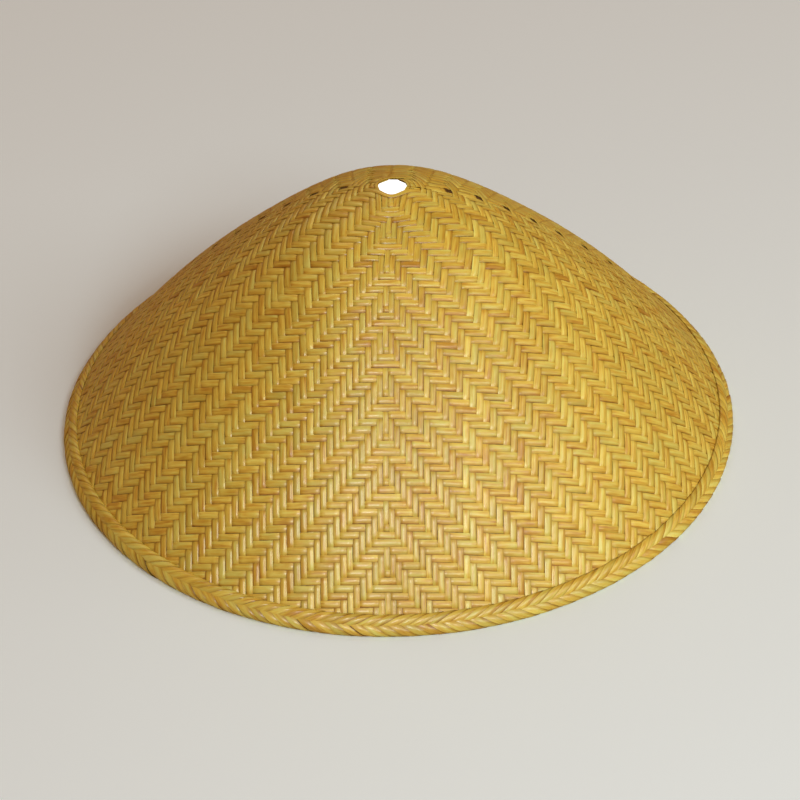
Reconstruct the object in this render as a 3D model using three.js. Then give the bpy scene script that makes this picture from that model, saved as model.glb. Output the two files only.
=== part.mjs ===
// Cone-shaped hat woven from split bamboo, lying on its rim. Millimetres, Z up, front towards -Y.
// The origin is at the middle of the ring that the rim rests on.
import * as THREE from "three";

// Driving dimensions.
const OUTER_DIAMETER = 450; // over the rim roll
const HOLE_DIAMETER = 19.5; // opening at the apex, framed by the first strips
const WALL = 2; // two layers of split bamboo, one over the other
const RIM_WIDTH = 14; // the roll along the slope
const RIM_THICKNESS = 7.2; // the roll across the slope
const RIM_REST_WIDTH = 3; // flat worn on the roll's underside, where it rests
const EDGE_DEPTH = 8.5; // length of the woven edge held inside the roll
const FIT_GAP = 0.3; // clearance between the roll and the woven edge

// How steep the outside of the crown is, measured down from the horizontal. Rows: radius (mm), slope (degrees).
// It starts nearly flat round the hole, runs as a cone, and grows steeper towards the rim.
const SLOPES = [
  { radius: 0, slope: 3.5 },
  { radius: 15, slope: 22.5 },
  { radius: 30, slope: 23 },
  { radius: 50, slope: 27.5 },
  { radius: 70, slope: 37.5 },
  { radius: 100, slope: 41 },
  { radius: 140, slope: 43.5 },
  { radius: 200, slope: 51.5 },
  { radius: 225, slope: 51.5 },
];

// Fineness of the faceted surfaces.
const TURN_SIDES = 96;
const CROWN_STEPS = 16; // rings between the hole and the edge, on each face, closer together at the top
const RING_SPREAD = 1.25; // power by which the rings move apart down the slope
const CAP_STEPS = 6; // sides of the roll's rounded lower edge, from its worn flat up to its outer face
const UNDER_STEPS = 2; // sides from the worn flat up to its inner face
const LIP_STEPS = 4; // sides of each lip that the woven edge goes in between
const SUM_STEP = 0.5; // radius step in adding up the slope

const RIM_TILT = SLOPES[SLOPES.length - 1].slope; // the roll lies in line with the woven edge

function slopeAt(radius) {
  const next = Math.max(1, SLOPES.findIndex((row) => row.radius >= radius));
  const [inner, outer] = [SLOPES[next - 1], SLOPES[next]];
  const part = (radius - inner.radius) / (outer.radius - inner.radius);
  return THREE.MathUtils.degToRad(THREE.MathUtils.lerp(inner.slope, outer.slope, part));
}

// How far the crown's outer face lies below its apex at a radius, added up in small steps.
function dropTo(radius) {
  const steps = Math.ceil(radius / SUM_STEP);
  let drop = 0;
  for (let i = 0; i < steps; i++) {
    drop += Math.tan(slopeAt(((i + 0.5) * radius) / steps)) * (radius / steps);
  }
  return drop;
}

// The roll's section has rounded ends. Its own axes run down the slope and out from the crown's face.
const tilt = THREE.MathUtils.degToRad(RIM_TILT);
const downSlope = new THREE.Vector2(Math.cos(tilt), -Math.sin(tilt));
const outward = new THREE.Vector2(Math.sin(tilt), Math.cos(tilt));
const capRadius = RIM_THICKNESS / 2;
const capOffset = RIM_WIDTH / 2 - capRadius; // from the section's middle to the centre of a rounded end

// Where the section's middle lies: its outermost point is the hat's own radius, and the worn flat of its
// rounded lower edge is on the floor.
const restHeight = Math.sqrt(capRadius ** 2 - (RIM_REST_WIDTH / 2) ** 2);
const rimCentre = new THREE.Vector2(
  OUTER_DIAMETER / 2 - capRadius - capOffset * downSlope.x,
  restHeight - capOffset * downSlope.y,
);

// The crown's outer face beside a point of the roll's centre line, given along the slope from the middle.
// Half a wall further in, the wall's own middle lies on that line.
function edgePoint(along) {
  return rimCentre.clone().addScaledVector(downSlope, along).addScaledVector(outward, WALL / 2);
}

// Height that the outside would reach without the hole, set by the rim up the whole slope.
const apexHeight = edgePoint(0).y + dropTo(edgePoint(0).x);

// A point of the crown's wall: on the outer face, or a depth inside it along the face's own normal.
function wallPoint(radius, depth) {
  const slope = slopeAt(radius);
  return new THREE.Vector2(
    radius - depth * Math.sin(slope),
    apexHeight - dropTo(radius) - depth * Math.cos(slope),
  );
}

function rimPoint(along, out) {
  return rimCentre.clone().addScaledVector(downSlope, along).addScaledVector(outward, out);
}

// Points of an arc about one of the section's two end centres, from one angle to another (degrees).
function rimArc(centreAlong, from, to, steps) {
  return Array.from({ length: steps + 1 }, (_, i) => {
    const angle = THREE.MathUtils.degToRad(THREE.MathUtils.lerp(from, to, i / steps));
    return rimPoint(centreAlong + capRadius * Math.cos(angle), capRadius * Math.sin(angle));
  });
}

// A profile that closes on itself, turned about the Z axis. It runs up its outer side and down its inner one.
function turned(profile) {
  const closed = [...profile, profile[0].clone()];
  return new THREE.LatheGeometry(closed, TURN_SIDES).rotateX(Math.PI / 2);
}

// The crown and brim are one woven sheet: a thin shell, open underneath and at the apex.
function wovenCrown() {
  const first = HOLE_DIAMETER / 2;
  const last = edgePoint(-RIM_WIDTH / 2 + EDGE_DEPTH).x;
  const radii = Array.from({ length: CROWN_STEPS + 1 }, (_, i) =>
    THREE.MathUtils.lerp(first, last, (i / CROWN_STEPS) ** RING_SPREAD),
  );
  const outerFace = radii.map((radius) => wallPoint(radius, 0)).reverse();
  const innerFace = radii.map((radius) => wallPoint(radius, WALL));
  const material = new THREE.MeshStandardMaterial({ color: 0xc9a24b, roughness: 0.45, metalness: 0 });
  const mesh = new THREE.Mesh(turned([...outerFace, ...innerFace]), material);
  mesh.name = "woven_crown";
  return mesh;
}

// The rim is a wrapped roll with a groove, in which the crown's edge is held.
function rimBraid() {
  const grooveHalf = WALL / 2 + FIT_GAP;
  const grooveEnd = -RIM_WIDTH / 2 + EDGE_DEPTH + FIT_GAP;
  const lipAngle = THREE.MathUtils.radToDeg(Math.asin(grooveHalf / capRadius));
  const downAngle = RIM_TILT - 90; // straight down, counted from the slope as the section's arcs are
  const restAngle = THREE.MathUtils.radToDeg(Math.asin(RIM_REST_WIDTH / 2 / capRadius));
  const profile = [
    ...rimArc(capOffset, -90, downAngle - restAngle, UNDER_STEPS),
    ...rimArc(capOffset, downAngle + restAngle, 90, CAP_STEPS),
    ...rimArc(-capOffset, 90, 180 - lipAngle, LIP_STEPS),
    rimPoint(grooveEnd, grooveHalf),
    rimPoint(grooveEnd, -grooveHalf),
    ...rimArc(-capOffset, 180 + lipAngle, 270, LIP_STEPS),
  ];
  const material = new THREE.MeshStandardMaterial({ color: 0xc19a3f, roughness: 0.5, metalness: 0 });
  const mesh = new THREE.Mesh(turned(profile), material);
  mesh.name = "rim_braid";
  return mesh;
}

const hat = new THREE.Group();
hat.add(wovenCrown(), rimBraid());

export default hat;
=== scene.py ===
"""Woven bamboo hat: strips that go over three and under three, and a wrapped rim."""

import math

import bpy
import numpy as np
from mathutils import Matrix, Vector


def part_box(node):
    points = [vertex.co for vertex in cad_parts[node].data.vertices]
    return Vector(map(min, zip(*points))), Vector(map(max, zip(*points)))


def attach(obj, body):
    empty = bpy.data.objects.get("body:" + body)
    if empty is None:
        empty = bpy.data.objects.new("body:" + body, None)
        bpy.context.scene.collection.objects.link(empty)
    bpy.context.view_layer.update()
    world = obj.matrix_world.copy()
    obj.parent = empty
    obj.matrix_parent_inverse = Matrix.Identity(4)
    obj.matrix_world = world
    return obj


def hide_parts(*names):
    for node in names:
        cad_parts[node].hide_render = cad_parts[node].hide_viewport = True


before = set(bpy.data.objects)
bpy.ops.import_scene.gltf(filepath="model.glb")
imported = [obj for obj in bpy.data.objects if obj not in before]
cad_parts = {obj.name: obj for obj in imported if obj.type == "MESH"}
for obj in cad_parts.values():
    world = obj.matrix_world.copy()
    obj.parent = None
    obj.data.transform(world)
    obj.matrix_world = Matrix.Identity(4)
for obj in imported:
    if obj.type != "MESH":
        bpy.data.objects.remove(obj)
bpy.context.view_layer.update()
CROWN_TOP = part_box("woven_crown")[1].z
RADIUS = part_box("rim_braid")[1].x

# The crown, in metres, as the solids have it. Rows of the slopes: radius, degrees below the level.
WALL = 0.002
HOLE_RADIUS = 0.00975
SLOPES = [
    (0.000, 3.5), (0.015, 22.5), (0.030, 23), (0.050, 27.5), (0.070, 37.5),
    (0.100, 41), (0.140, 43.5), (0.200, 51.5), (0.230, 51.5),
]
FINE_STEP = 0.0001  # radius step in adding up the slopes

# The hole's middle lies a little beside the rim's. The shift fades out down the slope.
HOLE_SHIFT = 0.0016
HOLE_SHIFT_REACH = 0.04

# The roll round the edge, in metres, as the solids have it. Its worn flat is on the floor.
RIM_WIDTH = 0.014
RIM_THICKNESS = 0.0072
RIM_REST_WIDTH = 0.003
RIM_TILT = math.radians(SLOPES[-1][1])
CAP_RADIUS = RIM_THICKNESS / 2
CAP_OFFSET = RIM_WIDTH / 2 - CAP_RADIUS
REST_HEIGHT = math.sqrt(CAP_RADIUS ** 2 - (RIM_REST_WIDTH / 2) ** 2)
RIM_RADIUS = RADIUS - CAP_RADIUS - CAP_OFFSET * math.cos(RIM_TILT)
RIM_HEIGHT = REST_HEIGHT + CAP_OFFSET * math.sin(RIM_TILT)
HALF_ROUND = math.pi * CAP_RADIUS

# The weave has three seams. A row crosses its seam at a right angle and runs beside the two others.
# Rows are counted down the slope from the apex, columns sideways from the seam, both in strips.
INDEX_SPAN = 70  # strips counted from the apex to a little past the rim
LATTICE_LENGTH = 0.31176  # way down the slope to the last of them, in metres
UNEVEN = 0.1219  # how much closer the strips lie at the apex
UNEVEN_BEND = -0.1489  # how that changes down the slope
ROW_SHIFT = 0.9138  # how much further out the rows lie where they cross their seam, in strips
FLAT_RATIO = 4 / 3  # slant over radius on the cone that three flat quarters close to
TURN_ROUNDS = 5  # rounds in which a lattice point's turn settles
SEAMS = {  # azimuth half way down, from the front towards +X, and its change down the slope, in degrees
    "front": (-3.4, 1.5),
    "right": (114.8, 5.8),
    "left": (233.6, -9.9),
}
# A further turn at a seam, in degrees, and how far down the slope it reaches, in metres.
SEAM_TURNS = {"right": (-9, 0.09), "left": (6, 1.0)}
SEAM_TURN_POWER = 4  # how fast that turn fades out away from the seam
ORDER = ["front", "right", "left"]
ROUND_POWER = 2.5  # how much rounder than a circle's corners the first rows run, which rounds the hole
ROUND_REACH = 0.045  # how far down the slope that holds, in metres
FIRST_ROW = 2  # the row that frames the hole
HALF_WAY_ROW = 44
HALVES = {"upper": range(FIRST_ROW, HALF_WAY_ROW), "lower": range(HALF_WAY_ROW, INDEX_SPAN)}
REPEAT = 6  # crossings after which the weave repeats
FLOAT = 3  # crossings that a strip lies over in a row

# Small openings on the two back seams: the rows they take the place of, and their half size in strips.
GAP_ROWS = {"right": 10, "left": 9}
GAP_HALF_WIDTH = 1.1
GAP_HALF_LENGTH = 0.8
GAP_PUSH = 0.15  # how far the strips round an opening make way for it
GAP_REACH = 0.9
GAP_NARROWING = 0.4  # how much narrower the strips at its sides are
GAP_FLATTENING = 0.8  # how much flatter they lie
GAP_GROWTH = (8, 28)  # rows between which both grow from nothing to their full measure

# The strips that frame the hole are narrower there and lie a little further out, in strips.
HOLE_STRIP_NARROWING = 0.22
HOLE_STRIP_SHIFT = 0.18
HOLE_STRIP_REACH = 4

# One strip. Its section is flat below and crowned above. Columns: half widths, half thicknesses.
STRIP_THICKNESS = 0.00064
LIFT = 0.00042
HALF_WIDTH = 0.505
PER_CROSSING = 3  # stations from one crossing to the next
OVER_HEIGHT = 1.08  # height in the middle of a float, in lifts
CHANGE_HEIGHT = 0.55  # height beside a change from over to under
SECTION = np.array([(-1.0, -1.0), (-0.94, 0.55), (0.0, 1.0), (0.94, 0.55), (1.0, -1.0)])
SECTION_LEAN = np.radians([-26, -10, 0, 10, 22])  # how far the shading leans to the side at each corner

# How a strip strays: the size of each wave and its length in crossings. The line's size is in strips,
# the tilt's in metres, and the two others are shares.
LINE_WANDER = (0.035, 26)
WIDTH_WANDER = (0.035, 17)
TILT_WANDER = (0.0001, 9)
HEIGHT_WANDER = (0.12, 7)
WANDER_WAVES = ((1.0, 0.5), (0.57, 0.3), (0.31, 0.2))  # parts of the length, shares of the size
WIDTH_SPREAD = 0.025  # how much the strips' widths differ
TONE_SPREAD = (6.0, 7.0)  # how the strips' tones spread between the palest and the brownest
GRAIN_SPREAD = 50  # how far apart the strips' pieces of the grain are picked

# The wrapping of the roll, in metres.
WRAPS = 166
WRAP_WIDTH = 1.12  # of the room that each has
WRAP_WIDTH_SPREAD = 0.05
WRAP_START_SPREAD = 0.045
WRAP_LIFT_SPREAD = 0.0001
WRAP_THICKNESS = 0.0008
WRAP_SHINGLE = 0.00015  # how much higher a strand's one edge lies than its middle
UPPER_LEAN = math.radians(31)  # of a strand, from the roll's own direction
LOWER_LEAN = math.radians(37)
TUCK = 0.0014  # how far a strand's end runs on under the next layer
WRAP_DEPTH = 0.0009  # how much lower that end lies
TUCK_LENGTH = 0.003  # way in which the strand comes up from there
LIP_END = 0.43  # how far the upper strands go round the lip, as a part of the half round
FLAT_STEPS = 6  # stations of a strand on a flat side
ROUND_STEPS = 10  # and round the edge
FLOOR_GAP = 0.00005  # least height over the floor

# What the wrapping goes round.
CORE_DEPTH = 0.0009  # how far inside the roll its surface lies, in metres
CORE_STEPS = 14  # stations half way round its section
CORE_SIDES = 240
CORE_COLOUR = (0.17, 0.085, 0.022)

# Split bamboo. Rows of the tones: place, colour, from the palest strips to the brownest.
TONES = [
    (0.0, (0.61, 0.528, 0.092)),
    (0.4, (0.65, 0.484, 0.062)),
    (0.7, (0.63, 0.418, 0.043)),
    (1.0, (0.54, 0.296, 0.025)),
]
PATCH_TONE = 1.5  # how far the slow patches along a strip move its tone
STREAK_TONE = 1.6
BRIGHTNESS = 1.05
STREAK_BRIGHTNESS = -0.5
STRIP_BRIGHTNESS = 0.06
PATCH_BRIGHTNESS = 0.35
SIDE_SHADE = -0.07  # painted shade: darker from a strip's middle to its lower side, and as much lighter to its upper side
DIP_SHADE = -0.1  # painted shade where a strip dips under the next
SHADOW_LINE_SHARPNESS = 6.0  # of the painted shadow line on a strip's lower side
DARK_WARMTH = (1.0, 1.45, 2.7)  # powers of red, green and blue: what is darker is also warmer
FIBRE_ROUGHNESS = 0.25
FIBRE_BUMP = 0.35
FIBRE_HEIGHT = 0.0002
SPECULAR = 0.3
LACQUER = 0.55
LACQUER_ROUGHNESS = 0.28
LACQUER_ROUND = 0.0005  # how much lower the lacquer lies at a strip's edges, in metres

# The stage, in metres and watts. Rows of the lights: place, size, power.
FLOOR_HALF_SIDE = 8.0
FLOOR_COLOUR = (0.80, 0.96, 1.0)
LIGHT_AIM = (0, 0, 0.08)  # the middle of the hat
SOFT_LIGHTS = {
    "key": ((2.1, -1.3, 1.9), 1.3, 25),
    "front_right": ((0.9, -2.2, 1.9), 0.9, 29),
    "front": ((-0.17, -1.66, 2.05), 0.3, 4.5),
    "right": ((2.6, 0.2, 1.6), 1.3, 5),
    "behind": ((-0.7, 1.8, 2.3), 1.4, 7),
}
SHEEN_LIGHT_PLACE = (-0.48, -1.75, 1.62)
HOLE_LIGHT_PLACE = (0.0016, 0.0348, 0.1641)
HOLE_LIGHT_AIM = (0.0, -1.85, 1.42)
WORLD_COLOUR = (1, 0.46, 0.2, 1)
WORLD_STRENGTH = 0.28

# The camera, from the photograph. Pixels are those of its 800 x 800 frame.
ELEVATION = math.radians(35.707)
ROLL = math.radians(2.043)
DISTANCE = 2.2787
FOCAL_PIXELS = 3455.5
FRAME_PIXELS = 800
SENSOR = 36.0
AIM_HEIGHT = 0.0883
AIM_PIXEL = (394.33, 312.58)

random = np.random.default_rng(7)


def running_sum(values):
    """What the values add up to, out to each radius."""
    return np.concatenate([[0], np.cumsum((values[1:] + values[:-1]) / 2 * FINE_STEP)])


radii = np.arange(0, SLOPES[-1][0], FINE_STEP)
slopes = np.radians(np.interp(radii, [row[0] for row in SLOPES], [row[1] for row in SLOPES]))
drops = running_sum(np.tan(slopes))
slants = running_sum(1 / np.cos(slopes))
APEX = CROWN_TOP + np.interp(HOLE_RADIUS, radii, drops)
WEAVE_END = np.interp(RIM_RADIUS, radii, slants)


def crown_point(slant, azimuth, height):
    """Points by their way down the slope, their azimuth and their height over the middle of the wall."""
    slope = np.interp(slant, slants, slopes)
    out = height - WALL / 2
    radius = np.interp(slant, slants, radii) + out * np.sin(slope)
    z = APEX - np.interp(slant, slants, drops) + out * np.cos(slope)
    shift = HOLE_SHIFT * np.exp(-((radius / HOLE_SHIFT_REACH) ** 2))
    return np.stack([radius * np.sin(azimuth) + shift, -radius * np.cos(azimuth), z], -1)


def strip_distance(index):
    """Way down the slope to a strip."""
    part = index / INDEX_SPAN
    return LATTICE_LENGTH * part * (1 + UNEVEN * (part - 1) + UNEVEN_BEND * (part - 1) * (part - 0.5))


def seam_azimuth(seam, slant):
    """Where a seam runs, some way down the slope."""
    middle, change = SEAMS[seam]
    return np.radians(middle + change * (slant / LATTICE_LENGTH - 0.5))


def seam_turn(seam, slant):
    """How much further the weave is turned at a seam."""
    turn, reach = SEAM_TURNS.get(seam, (0, 1))
    return math.radians(turn) * np.exp(-((slant / reach) ** 2))


def sector_place(first, second, a, b):
    """Slant and azimuth of a lattice point between two seams. a counts the rows of the first seam."""
    turn = np.arctan2(b, a)
    for _ in range(TURN_ROUNDS):
        u = strip_distance(a + ROW_SHIFT * np.cos(turn) ** 2)
        v = strip_distance(b + ROW_SHIFT * np.sin(turn) ** 2)
        turn = np.arctan2(v, u)
    power = 2 + ROUND_POWER * np.exp(-(((u + v) / ROUND_REACH) ** 2))
    slant = (np.abs(u) ** power + np.abs(v) ** power) ** (1 / power)
    start = seam_azimuth(first, slant)
    span = (seam_azimuth(second, slant) - start) % (2 * math.pi)
    bend = (slant / np.interp(slant, slants, radii) - FLAT_RATIO) / 4
    part = turn / (math.pi / 2)
    turned = seam_turn(first, slant) * (1 - part) ** SEAM_TURN_POWER
    turned = turned + seam_turn(second, slant) * part ** SEAM_TURN_POWER
    return slant, start + span * part + bend * np.sin(4 * turn) + turned


def seam_place(seam, row, column):
    """Slant and azimuth where a row of the seam meets a column, which is negative before the seam."""
    place = ORDER.index(seam)
    following = ORDER[(place + 1) % len(ORDER)]
    after = sector_place(seam, following, row, np.abs(column))
    before = sector_place(ORDER[place - 1], seam, np.abs(column), row)
    near = sector_place(seam, following, row, column)
    slant = np.where(column >= 0, after[0], before[0])
    azimuth = np.where(column >= 0, after[1], before[1])
    tight = np.abs(column) < 1
    return np.where(tight, near[0], slant), np.where(tight, near[1], azimuth)


def row_on_top(seam, row, column):
    """Whether a row lies over a column, three on and three off, moved on by one at each next row."""
    moved = {"front": 0 * column, "right": 1 + 0 * column, "left": (column >= 0) * 1}[seam]
    woven = (np.abs(column) - row - moved) % REPEAT < FLOAT
    return np.where((row == FIRST_ROW) & (np.abs(column) <= 1), True, woven)


def wander(steps, size, length):
    """A smooth random wave along a strip, with its length in crossings."""
    wave = 0 * steps
    for part, share in WANDER_WAVES:
        turn = steps * 2 * math.pi / (length * part)
        wave = wave + share * np.sin(turn + random.uniform(0, 2 * math.pi))
    return size * wave


def strip_tone():
    """A strip's own place in the tones, its brightness and the place of its grain."""
    return [random.beta(*TONE_SPREAD), random.normal(0, 1), random.uniform(0, GRAIN_SPREAD)]


def unit(vectors):
    """The same directions, each one long."""
    return vectors / np.linalg.norm(vectors, axis=-1, keepdims=True)


def linked(name, data):
    """A new object in the scene."""
    made = bpy.data.objects.new(name, data)
    bpy.context.scene.collection.objects.link(made)
    return made


class Ribbons:
    """Collects strips as rings of corners and makes one mesh of them, with its own smooth shading."""

    def __init__(self):
        self.corners = []
        self.faces = []
        self.grain = []
        self.strip = []
        self.normals = []
        self.count = 0

    def add(self, rings, across, lie, tone):
        """rings: stations x corners x 3. across: -1 to 1. lie: up or down in the weave."""
        n, sides = rings.shape[:2]
        middle = rings.mean(1)
        along = np.concatenate([[0], np.cumsum(np.linalg.norm(np.diff(middle, axis=0), axis=1))])
        base = self.count + sides * np.arange(n - 1)[:, None]
        corner = np.arange(sides)[None]
        following = (corner + 1) % sides
        quads = [base + corner, base + following, base + sides + following, base + sides + corner]
        quads = np.stack(quads, -1).reshape(-1, 4)
        ends = [self.count + np.arange(sides)[::-1], self.count + sides * (n - 1) + np.arange(sides)]
        self.faces += quads.tolist() + [end.tolist() for end in ends]
        self.corners.append(rings.reshape(-1, 3))
        along = np.broadcast_to(along[:, None], (n, sides))
        across = np.broadcast_to(across[None], (n, sides))
        lie = np.broadcast_to(lie[:, None], (n, sides))
        self.grain.append(np.stack([along, across, lie], -1).reshape(-1, 3))
        self.strip.append(np.broadcast_to(np.array(tone), (n * sides, 3)))
        self.add_normals(rings, middle)
        self.count += n * sides

    def add_normals(self, rings, middle):
        """A normal for each face corner. Above, it leans with the crown of the section."""
        ahead = unit(np.gradient(middle, axis=0))[:, None]
        beside = unit(rings[:, -1] - rings[:, 0])[:, None]
        up = unit(np.cross(beside, ahead))
        lean = SECTION_LEAN[:, None]
        crown = up * np.cos(lean) + beside * np.sin(lean)
        above = np.stack([crown[:-1, :-1], crown[:-1, 1:], crown[1:, 1:], crown[1:, :-1]], 2)
        below = np.stack([-up[:-1], -up[:-1], -up[1:], -up[1:]], 2)
        self.normals.append(np.concatenate([above, below], 1).reshape(-1, 3))
        self.normals.append(np.repeat([-ahead[0, 0], ahead[-1, 0]], rings.shape[1], 0))

    def piece(self, name, material):
        """The object that holds all strips so far."""
        mesh = bpy.data.meshes.new(name)
        mesh.from_pydata(np.concatenate(self.corners).tolist(), [], self.faces)
        for label, values in (("grain", self.grain), ("strip", self.strip)):
            layer = mesh.attributes.new(label, "FLOAT_VECTOR", "POINT")
            layer.data.foreach_set("vector", np.concatenate(values).astype(np.float32).ravel())
        mesh.shade_smooth()
        layer = mesh.attributes.new("custom_normal", "FLOAT_VECTOR", "CORNER")
        layer.data.foreach_set("vector", np.concatenate(self.normals).astype(np.float32).ravel())
        mesh.materials.append(material)
        return linked(name, mesh)


def lay_heights(up, steps):
    """Height of a strip at its stations, in lifts: above zero where it is over, below where under."""
    whole = np.rint(steps).astype(int)
    lowest = whole.min()
    beside = whole + np.sign(np.rint((steps - whole) * PER_CROSSING)).astype(int)
    state = up(np.arange(lowest - 1, whole.max() + 2)) * 2 - 1
    here = state[whole - lowest + 1]
    there = state[beside - lowest + 1]
    return here * np.where(here == there, OVER_HEIGHT, CHANGE_HEIGHT)


def stacked(corners, mirrored):
    """Rings from the rows of corners, and how far across the strip each row lies."""
    rings = np.stack(corners, 1)
    across = SECTION[:, 0]
    if mirrored:
        return rings[:, ::-1], across[::-1]
    return rings, across


def strip_rings(place, steps, lie, middle, width=1.0, mirrored=False):
    """Rings of a strip. place gives slant and azimuth for steps and a way sideways, in strips."""
    offset = middle + wander(steps, *LINE_WANDER)
    half = HALF_WIDTH * width * (1 + random.normal(0, WIDTH_SPREAD)) * (1 + wander(steps, *WIDTH_WANDER))
    tilt = wander(steps, *TILT_WANDER)
    height = lie * LIFT * (1 + wander(steps, *HEIGHT_WANDER))
    corners = []
    for side, up in SECTION:
        slant, azimuth = place(steps, offset + side * half)
        corners.append(crown_point(slant, azimuth, height + up * STRIP_THICKNESS / 2 + side * tilt))
    return stacked(corners, mirrored)


def part_lengths(steps, gaps, half):
    """Splits the steps of a strip where it stops at openings."""
    bounds = [-np.inf] + sorted(gaps) + [np.inf]
    parts = [steps[(steps > a + half) & (steps < b - half)] for a, b in zip(bounds, bounds[1:])]
    return [part for part in parts if len(part) > 1]


def gap_rows(seam):
    """The rows of a seam that have an opening in their place."""
    return list(range(GAP_ROWS[seam], INDEX_SPAN, REPEAT)) if seam in GAP_ROWS else []


def make_way(seam, rows, columns):
    """How far a strip moves sideways to leave the openings of its seam free, in strips."""
    moved = 0.0
    for gap in gap_rows(seam):
        near = np.exp(-(((rows - gap) ** 2 + columns ** 2 - 1) / GAP_REACH ** 2))
        side = np.sign(rows - gap) if np.isscalar(rows) else np.sign(columns)
        moved = moved + GAP_PUSH * side * np.minimum(near, 1)
    return moved


def down_to_rim(seam, rows, columns, steps):
    """The steps at which a strip is still on the crown."""
    slant, _ = seam_place(seam, rows, columns)
    return steps[slant < WEAVE_END]


def woven_row(ribbons, seam, row):
    """A strip that crosses the seam and runs down both sides of it to the rim."""
    steps = np.arange(-INDEX_SPAN * PER_CROSSING, INDEX_SPAN * PER_CROSSING + 1) / PER_CROSSING
    steps = down_to_rim(seam, row + 0 * steps, steps, steps)
    tone = strip_tone()
    for part in part_lengths(steps, [0] if row in gap_rows(seam) else [], GAP_HALF_WIDTH):
        lie = lay_heights(lambda column: row_on_top(seam, row, column), part)
        beside_hole = np.exp(-((part / HOLE_STRIP_REACH) ** 2)) if row == FIRST_ROW else 0.0
        width = 1 - HOLE_STRIP_NARROWING * beside_hole
        shift = make_way(seam, row, part) + HOLE_STRIP_SHIFT * beside_hole
        rings, across = strip_rings(
            lambda along, side: seam_place(seam, row + side, along), part, lie, shift, width
        )
        ribbons.add(rings, across, lie, tone)


def column_steps(seam, column):
    """The steps of a strip that runs down the seam, or down beside it, from the hole to the rim."""
    steps = np.arange(FIRST_ROW * PER_CROSSING, INDEX_SPAN * PER_CROSSING) / PER_CROSSING
    return down_to_rim(seam, steps, column + 0 * steps, steps)


def seam_strip(ribbons, seam):
    """The strip that lies along a seam. It stops at the openings."""
    for part in part_lengths(column_steps(seam, 0), gap_rows(seam), GAP_HALF_LENGTH):
        lie = lay_heights(lambda row: ~row_on_top(seam, row, 0 * row), part)
        rings, across = strip_rings(
            lambda along, side: seam_place(seam, along, side), part, lie, 0, mirrored=True
        )
        ribbons.add(rings, across, lie, strip_tone())


def side_strip(ribbons, seam, direction):
    """The first strip beside a seam. It starts at the hole, which takes the place of its own row."""
    steps = column_steps(seam, direction)
    free = gap_rows(seam)

    def over(row):
        return ~row_on_top(seam, row, direction + 0 * row) | np.isin(row, free)

    lie = lay_heights(over, steps)
    aside = make_way(seam, steps, direction)
    near = np.abs(aside) / GAP_PUSH * np.interp(steps, GAP_GROWTH, (0, 1))
    lie = lie * (1 - GAP_FLATTENING * near)
    rings, across = strip_rings(
        lambda along, side: seam_place(seam, along, side), steps, lie, direction + aside,
        1 - GAP_NARROWING * near, mirrored=True
    )
    ribbons.add(rings, across, lie, strip_tone())


def woven_crown(material):
    """The sheet: the rows of each seam in two pieces, the upper one with the strips along the seam."""
    pieces = []
    for seam in ORDER:
        for half, rows in HALVES.items():
            ribbons = Ribbons()
            for row in rows:
                if strip_distance(row + ROW_SHIFT) < WEAVE_END:
                    woven_row(ribbons, seam, row)
            if half == "upper":
                seam_strip(ribbons, seam)
                side_strip(ribbons, seam, -1)
                side_strip(ribbons, seam, 1)
            pieces.append(ribbons.piece(f"{seam}_strips_{half}", material))
    return pieces


def rim_point(azimuth, way, out):
    """Points of the roll. way runs round its section from the middle of its outer side.

    Above zero it runs up over the lip, below zero down round the lower edge.
    """
    ahead = np.abs(way)
    angle = np.clip((ahead - CAP_OFFSET) / CAP_RADIUS, 0, math.pi)
    past = np.maximum(ahead - CAP_OFFSET - HALF_ROUND, 0)
    reach = np.minimum(ahead, CAP_OFFSET) - past + (CAP_RADIUS + out) * np.sin(angle)
    across = (CAP_RADIUS + out) * np.cos(angle)
    down = -np.sign(way) * reach
    radius = RIM_RADIUS + down * math.cos(RIM_TILT) + across * math.sin(RIM_TILT)
    z = RIM_HEIGHT - down * math.sin(RIM_TILT) + across * math.cos(RIM_TILT)
    return np.stack([radius * np.sin(azimuth), -radius * np.cos(azimuth), np.maximum(z, FLOOR_GAP)], -1)


def wrap_strand(ribbons, start, ways, lifts, lean, mirrored):
    """One strand of the wrapping along its way round the section."""
    run = np.abs(ways - ways[0])
    centre = start + run / math.tan(lean) / RIM_RADIUS
    half = math.pi / WRAPS * WRAP_WIDTH * (1 + random.normal(0, WRAP_WIDTH_SPREAD))
    lifts = lifts + random.normal(0, WRAP_LIFT_SPREAD)
    corners = []
    for side, up in SECTION:
        height = lifts + up * WRAP_THICKNESS / 2 + side * WRAP_SHINGLE
        corners.append(rim_point(centre + side * half, ways, height))
    rings, across = stacked(corners, mirrored)
    ribbons.add(rings, across, 1 + 0 * ways, strip_tone())


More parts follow.
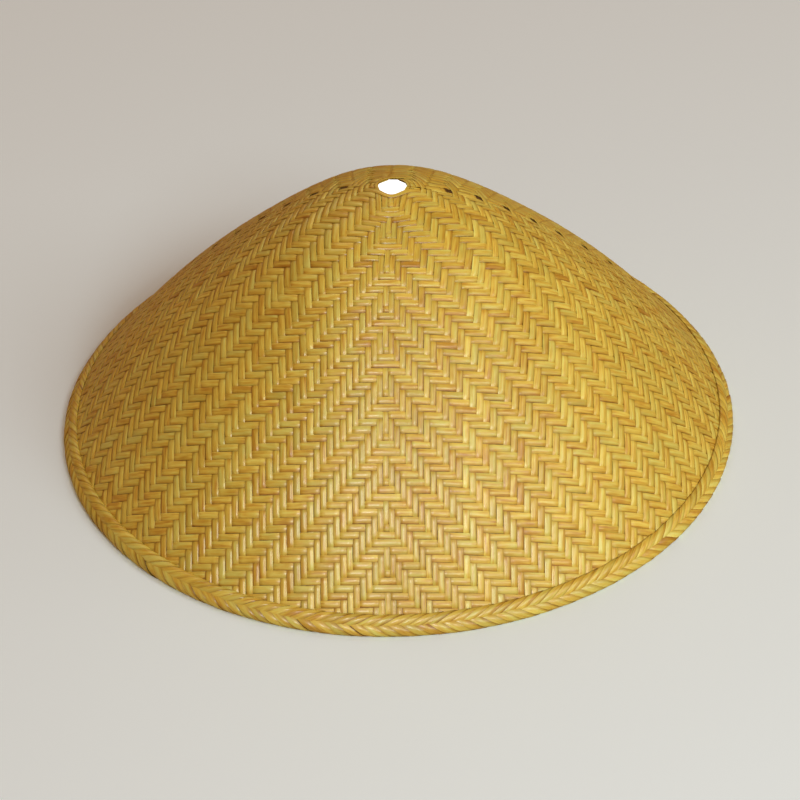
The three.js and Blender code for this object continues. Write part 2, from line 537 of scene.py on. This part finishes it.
def rim_wrapping(material):
    """A herringbone: strands round the lower edge, and strands up over the lip from either side."""
    ribbons = Ribbons()
    round_end = CAP_OFFSET + HALF_ROUND
    full = round_end + CAP_OFFSET
    outset = np.linspace(-TUCK, CAP_OFFSET, FLAT_STEPS)
    round_low = np.linspace(CAP_OFFSET, round_end, ROUND_STEPS)[1:]
    round_high = np.linspace(CAP_OFFSET, CAP_OFFSET + HALF_ROUND * LIP_END, FLAT_STEPS)[1:]
    low = np.concatenate([outset, round_low, np.linspace(round_end, full + TUCK, FLAT_STEPS)[1:]])
    high = np.concatenate([outset, round_high])

    def sunk(way):
        return -WRAP_THICKNESS / 2 - WRAP_DEPTH * (1 - np.clip((way + TUCK) / TUCK_LENGTH, 0, 1))

    for k in range(WRAPS):
        start = 2 * math.pi * (k + random.normal(0, WRAP_START_SPREAD)) / WRAPS
        half_on = start + math.pi / WRAPS
        wrap_strand(ribbons, start, -low, np.minimum(sunk(low), sunk(full - low)), LOWER_LEAN, True)
        wrap_strand(ribbons, half_on, high, sunk(high), UPPER_LEAN, False)
        wrap_strand(ribbons, half_on, full - high, sunk(high), UPPER_LEAN, True)
    return ribbons.piece("rim_wrapping", material)


def rim_core(material):
    """What is inside the wrapping, as one plain roll."""
    steps = np.linspace(0, 2 * CAP_OFFSET + HALF_ROUND, CORE_STEPS)
    ways = np.concatenate([steps, -steps[1:-1][::-1]])
    sides = len(ways)
    rings = []
    faces = []
    for k in range(CORE_SIDES):
        azimuth = 2 * math.pi * k / CORE_SIDES
        rings.append(rim_point(azimuth + 0 * ways, ways, 0 * ways - CORE_DEPTH))
        n = (k + 1) % CORE_SIDES
        for i in range(sides):
            j = (i + 1) % sides
            faces.append([k * sides + i, n * sides + i, n * sides + j, k * sides + j])
    mesh = bpy.data.meshes.new("rim_core")
    mesh.from_pydata(np.concatenate(rings).tolist(), [], faces)
    mesh.materials.append(material)
    mesh.shade_smooth()
    return linked("rim_core", mesh)


class Graph:
    """A new material's nodes, with short calls for sums, noise and relief."""

    def __init__(self, name):
        self.material = bpy.data.materials.new(name)
        self.material.use_nodes = True
        self.tree = self.material.node_tree
        self.shader = self.tree.nodes["Principled BSDF"]

    def set(self, **values):
        """Sets the shader's own sockets. A name's underscores stand for its spaces."""
        for key, value in values.items():
            self.shader.inputs[key.replace("_", " ")].default_value = value

    def node(self, kind, **values):
        made = self.tree.nodes.new(kind)
        for key, value in values.items():
            setattr(made, key, value)
        return made

    def link(self, source, target):
        self.tree.links.new(source, target)

    def parts(self, attribute):
        """The three numbers of an attribute of the mesh."""
        source = self.node("ShaderNodeAttribute", attribute_name=attribute)
        split = self.node("ShaderNodeSeparateXYZ")
        self.link(source.outputs["Vector"], split.inputs[0])
        return split.outputs

    def joined(self, *sources):
        """Three numbers as one vector."""
        made = self.node("ShaderNodeCombineXYZ")
        for source, socket in zip(sources, made.inputs):
            self.link(source, socket)
        return made.outputs[0]

    def math(self, operation, first, second=0, clamp=False):
        made = self.node("ShaderNodeMath", operation=operation, use_clamp=clamp)
        for value, socket in zip((first, second), made.inputs):
            if isinstance(value, (int, float)):
                socket.default_value = value
            else:
                self.link(value, socket)
        return made.outputs[0]

    def times(self, first, second):
        return self.math("MULTIPLY", first, second)

    def total(self, first, *others):
        """The sum of all, added in their order."""
        for other in others:
            first = self.math("ADD", first, other)
        return first

    def swing(self, noise, size):
        """A noise moved to both sides of zero."""
        return self.times(self.math("SUBTRACT", noise, 0.5), size)

    def noise(self, place, detail):
        """A smooth noise between 0 and 1."""
        texture = self.node("ShaderNodeTexNoise")
        texture.inputs["Scale"].default_value = 1.0
        texture.inputs["Detail"].default_value = detail
        self.link(place, texture.inputs["Vector"])
        return texture.outputs["Fac"]

    def ramp(self, rows, place):
        """A colour between the rows, which hold a place and a colour."""
        made = self.node("ShaderNodeValToRGB")
        elements = made.color_ramp.elements
        while len(elements) > 1:
            elements.remove(elements[-1])
        for i, (position, colour) in enumerate(rows):
            element = elements[0] if i == 0 else elements.new(position)
            element.position = position
            element.color = (*colour, 1)
        self.link(place, made.inputs["Fac"])
        return made.outputs["Color"]

    def relief(self, height, strength, distance, target):
        """Lets the shading follow a height."""
        made = self.node("ShaderNodeBump")
        made.inputs["Strength"].default_value = strength
        made.inputs["Distance"].default_value = distance
        self.link(height, made.inputs["Height"])
        self.link(made.outputs["Normal"], self.shader.inputs[target])


def bamboo(name, least_roughness, shadow_line_depth):
    """Split bamboo: a tone for each strip and streaks along it, with painted shade: a dark line on its
    lower side, a darkening towards that side and where it dips under the next.
    """
    graph = Graph(name)
    along, across, lie = graph.parts("grain")
    tone, bright, pick = graph.parts("strip")

    def grain_noise(lengthwise, sideways, detail):
        place = graph.joined(graph.times(along, lengthwise), graph.times(across, sideways), pick)
        return graph.noise(place, detail)

    patches = grain_noise(lengthwise=60, sideways=0.4, detail=2)
    fibres = grain_noise(lengthwise=120, sideways=7, detail=3)
    streaks = grain_noise(lengthwise=70, sideways=1.7, detail=2)
    moved = graph.total(graph.swing(patches, PATCH_TONE), graph.swing(streaks, STREAK_TONE))
    colour = graph.ramp(TONES, graph.math("ADD", tone, moved, clamp=True))

    # Painted shade: a dark line along each strip's lower side, a darkening across it towards that side,
    # and a darkening where it dips under the next strip.
    lower_side = graph.math("MULTIPLY", graph.math("ADD", across, 1.0), 0.5, clamp=True)
    dip = graph.math("SUBTRACT", 1.0, graph.math("ABSOLUTE", lie))
    value = graph.total(
        BRIGHTNESS,
        graph.swing(streaks, STREAK_BRIGHTNESS),
        graph.times(bright, STRIP_BRIGHTNESS),
        graph.swing(patches, PATCH_BRIGHTNESS),
        graph.times(graph.math("POWER", lower_side, SHADOW_LINE_SHARPNESS), -shadow_line_depth),
        graph.times(across, SIDE_SHADE),
        graph.times(dip, DIP_SHADE),
    )
    tinted = graph.node("ShaderNodeVectorMath", operation="MULTIPLY")
    graph.link(colour, tinted.inputs[0])
    shades = [graph.math("POWER", value, power) for power in DARK_WARMTH]
    graph.link(graph.joined(*shades), tinted.inputs[1])
    graph.link(tinted.outputs[0], graph.shader.inputs["Base Color"])

    roughness = graph.math("ADD", graph.times(fibres, FIBRE_ROUGHNESS), least_roughness)
    graph.link(roughness, graph.shader.inputs["Roughness"])
    graph.relief(fibres, FIBRE_BUMP, FIBRE_HEIGHT, "Normal")
    graph.relief(graph.times(graph.times(across, across), -1.0), 1.0, LACQUER_ROUND, "Coat Normal")
    graph.set(Specular_IOR_Level=SPECULAR, Coat_Weight=LACQUER, Coat_Roughness=LACQUER_ROUGHNESS)
    return graph.material


def plain(name, colour, roughness, glow=0.0):
    """One even colour, which may glow a little."""
    graph = Graph(name)
    graph.set(Base_Color=(*colour, 1), Roughness=roughness)
    graph.set(Emission_Color=(*colour, 1), Emission_Strength=glow)
    return graph.material


def floor():
    """A pale floor that the lacquer doesn't mirror, since that would grey the hat's left edge."""
    size = FLOOR_HALF_SIDE
    mesh = bpy.data.meshes.new("floor")
    corners = [(-size, -size, 0), (size, -size, 0), (size, size, 0), (-size, size, 0)]
    mesh.from_pydata(corners, [], [[0, 1, 2, 3]])
    mesh.materials.append(plain("floor", FLOOR_COLOUR, roughness=0.6, glow=0.02))
    piece = linked("floor", mesh)
    piece.visible_glossy = False


def area_light(name, place, aim, size, power, length=None):
    """A round light, or an oval one where a length is given."""
    data = bpy.data.lights.new(name, "AREA")
    data.shape = "ELLIPSE"
    data.size = size
    data.size_y = length or size
    data.energy = power
    light = linked(name, data)
    light.location = place
    light.rotation_euler = (Vector(aim) - Vector(place)).to_track_quat("-Z", "Y").to_euler()
    return light


def lights():
    """Soft lights, one for the lacquer's sheen alone, and one in the crown that whitens the hole."""
    for name, (place, size, power) in SOFT_LIGHTS.items():
        area_light(name, place, LIGHT_AIM, size, power)
    sheen = area_light("over_seam", SHEEN_LIGHT_PLACE, LIGHT_AIM, size=0.35, power=23, length=0.4)
    sheen.visible_diffuse = False
    place, aim = HOLE_LIGHT_PLACE, HOLE_LIGHT_AIM
    hole = area_light("through_hole", place, aim, size=0.021, power=0.0009, length=0.0118)
    hole.visible_camera = True


def studio():
    """The warm fill light from all round."""
    world = bpy.data.worlds.new("studio")
    world.use_nodes = True
    background = world.node_tree.nodes["Background"]
    background.inputs["Color"].default_value = WORLD_COLOUR
    background.inputs["Strength"].default_value = WORLD_STRENGTH
    bpy.context.scene.world = world
    bpy.context.scene.view_settings.view_transform = "Standard"


def camera():
    """The photograph's camera: it looks past AIM_HEIGHT on the axis so that this lands on AIM_PIXEL."""
    data = bpy.data.cameras.new("camera")
    data.sensor_width = SENSOR
    data.lens = FOCAL_PIXELS / FRAME_PIXELS * SENSOR
    back = Vector((0, -math.cos(ELEVATION), math.sin(ELEVATION)))
    right = Vector((1, 0, 0))
    up = Vector((0, math.sin(ELEVATION), math.cos(ELEVATION)))
    x = FRAME_PIXELS / 2 - AIM_PIXEL[0]
    y = AIM_PIXEL[1] - FRAME_PIXELS / 2
    across = x * math.cos(ROLL) + y * math.sin(ROLL)
    rise = y * math.cos(ROLL) - x * math.sin(ROLL)
    ahead = (-back * FOCAL_PIXELS + right * across + up * rise).normalized()
    level = right * math.cos(ROLL) - up * math.sin(ROLL)
    side = (level - ahead * level.dot(ahead)).normalized()
    top = side.cross(ahead)
    place = Vector((0, 0, AIM_HEIGHT)) + back * DISTANCE
    made = linked("camera", data)
    made.matrix_world = Matrix.Translation(place) @ Matrix((side, top, -ahead)).transposed().to_4x4()
    bpy.context.scene.camera = made


woven = bamboo("woven_bamboo", least_roughness=0.30, shadow_line_depth=0.45)
wrapped = bamboo("rim_bamboo", least_roughness=0.33, shadow_line_depth=0.42)
core = plain("rim_core", CORE_COLOUR, roughness=0.8)

for piece in woven_crown(woven):
    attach(piece, "root")
    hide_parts("woven_crown")

for piece in (rim_wrapping(wrapped), rim_core(core)):
    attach(piece, "root")
    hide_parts("rim_braid")

floor()
lights()
studio()
camera()
